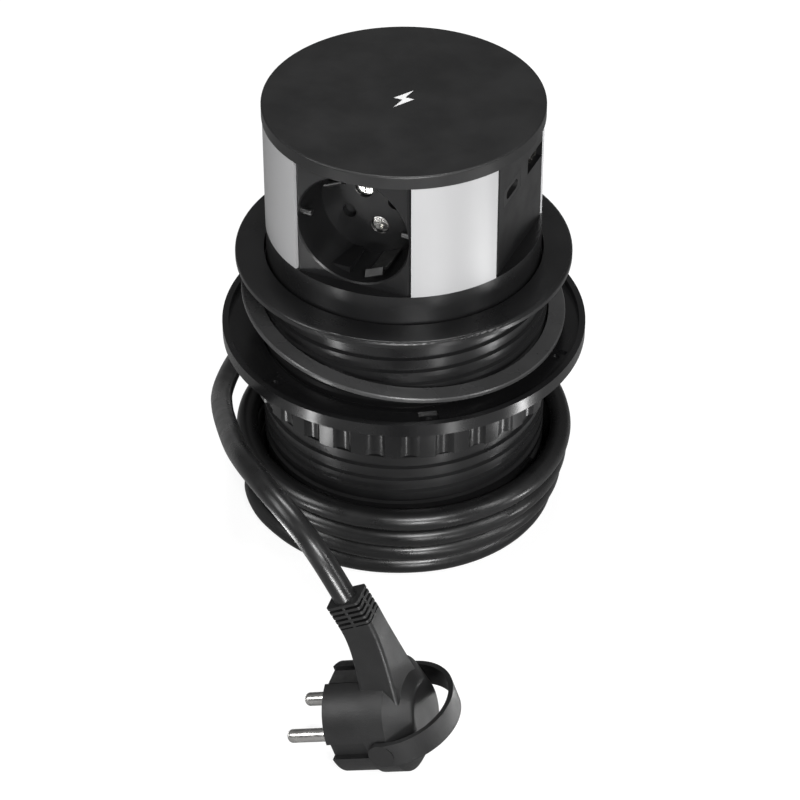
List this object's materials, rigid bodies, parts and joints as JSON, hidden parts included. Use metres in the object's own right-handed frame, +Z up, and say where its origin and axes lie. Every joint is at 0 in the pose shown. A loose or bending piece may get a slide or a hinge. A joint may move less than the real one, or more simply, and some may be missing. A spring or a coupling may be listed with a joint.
{
  "type": "pop up desk socket",
  "caption": "Pop up desk socket tower with mains recesses, charging ports, screw clamp ring and coiled mains cord with plug.",
  "frame": {"origin": "centre of the base on the floor, on the tower axis", "axes": "+Z up along the tower axis, -Y is the face of the front mains socket, +X is the face with the charging ports"},
  "size_m": [0.1589, 0.234, 0.174],
  "materials": {
    "black_plastic": "fine moulded",
    "satin_black": "satin",
    "gloss_black": "smooth gloss",
    "grey_plastic": "moulded",
    "zinc_steel": "zinc plated",
    "nickel": "nickel plated",
    "copper": "enamelled copper wire",
    "cord_pvc": "satin soft pvc",
    "gasket_rubber": "smooth rubber",
    "silver_panel": "fine grained, satin",
    "white_ink": "printed inlay",
    "green_board": "circuit board"
  },
  "bodies": {
    "housing": {"threaded_sleeve": "gloss_black", "base_cover": "black_plastic", "cover_screws": "zinc_steel", "foot_screws": "zinc_steel", "clamp_screws": "zinc_steel", "stop_washer": "zinc_steel", "guide_post": "grey_plastic", "latch_body": "grey_plastic", "damper_rack": "grey_plastic", "lift_spring": "zinc_steel", "cord_coil": "cord_pvc", "cord_lead": "cord_pvc", "cord_tail": "cord_pvc", "riser_cord": "cord_pvc", "cord_gland": "black_plastic", "cord_clamp": "black_plastic", "terminal_block": "grey_plastic", "plug_body": "cord_pvc", "plug_bridge": "black_plastic", "plug_pins": "nickel", "plug_earth_clips": "nickel"},
    "tower": {"top_cap": "satin_black", "charge_mark": "white_ink", "charging_coil": "copper", "ferrite_sheet": "grey_plastic", "charging_board": "green_board", "tower_body": "black_plastic", "tower_base_plate": "black_plastic", "plate_screws": "zinc_steel", "damper_body": "black_plastic", "port_panel": "satin_black", "port_frame": "satin_black", "port_shells": "nickel", "port_tongues": "black_plastic", "port_board": "green_board", "board_parts": "grey_plastic", "socket_screws": "nickel", "guide_studs": "nickel", "trim_panel_front_left": "silver_panel", "trim_panel_front_right": "silver_panel", "trim_panel_back_right": "silver_panel", "trim_panel_back_left": "silver_panel", "socket_insert_front": "satin_black", "socket_carrier_front": "grey_plastic", "socket_contacts_front": "nickel", "earth_strap_front": "nickel", "socket_insert_left": "satin_black", "socket_carrier_left": "grey_plastic", "socket_contacts_left": "nickel", "earth_strap_left": "nickel", "socket_insert_back": "satin_black", "socket_carrier_back": "grey_plastic", "socket_contacts_back": "nickel", "earth_strap_back": "nickel"},
    "damper_gear_body": {"damper_gear": "grey_plastic"},
    "gasket_body": {"gasket": "gasket_rubber"},
    "nut_body": {"clamp_nut": "gloss_black"},
    "plug_loop_body": {"plug_loop": "cord_pvc"},
    "shutter_front": {"socket_shutter_front": "black_plastic"},
    "shutter_left": {"socket_shutter_left": "black_plastic"},
    "shutter_back": {"socket_shutter_back": "black_plastic"}
  },
  "joints": [
    {"name": "tower_lift", "type": "slide", "parent": "housing", "child": "tower", "axis": [0, 0, 1], "range_m": [-0.0618, 0], "stiffness_N_per_m": 50, "springref_m": 0.1, "deforming": ["lift_spring", "riser_cord"]},
    {"name": "damper_spin", "type": "hinge", "parent": "tower", "child": "damper_gear_body", "pos_m": [-0.0194, 0, 0.097], "axis": [0, 1, 0], "range_deg": [-887, 1]},
    {"name": "nut_travel", "type": "slide", "parent": "housing", "child": "gasket_body", "axis": [0, 0, 1], "range_m": [-0.0165, 0.011]},
    {"name": "nut_turn", "type": "hinge", "parent": "gasket_body", "child": "nut_body", "pos_m": [0, 0, 0.07], "axis": [0, 0, 1], "range_deg": [-1080, 720]},
    {"name": "loop_swing", "type": "hinge", "parent": "housing", "child": "plug_loop_body", "pos_m": [0.06068, -0.14383, 0.02421], "axis": [-0.1105, 0.9938, 0.0109], "range_deg": [-45, 55]},
    {"name": "shutter_slide_front", "type": "slide", "parent": "tower", "child": "shutter_front", "axis": [0.9135, 0, 0.4067], "range_m": [0, 0.006], "stiffness_N_per_m": 60, "springref_m": -0.004},
    {"name": "shutter_slide_left", "type": "slide", "parent": "tower", "child": "shutter_left", "axis": [0, -0.9135, 0.4067], "range_m": [0, 0.006], "stiffness_N_per_m": 60, "springref_m": -0.004},
    {"name": "shutter_slide_back", "type": "slide", "parent": "tower", "child": "shutter_back", "axis": [-0.9135, 0, 0.4067], "range_m": [0, 0.006], "stiffness_N_per_m": 60, "springref_m": -0.004}
  ],
  "couplings": [
    {"joint": "damper_spin", "follows": "tower_lift", "rad_per_m": 250},
    {"joint": "nut_travel", "follows": "nut_turn", "m_per_rad": 0.00087535}
  ]
}
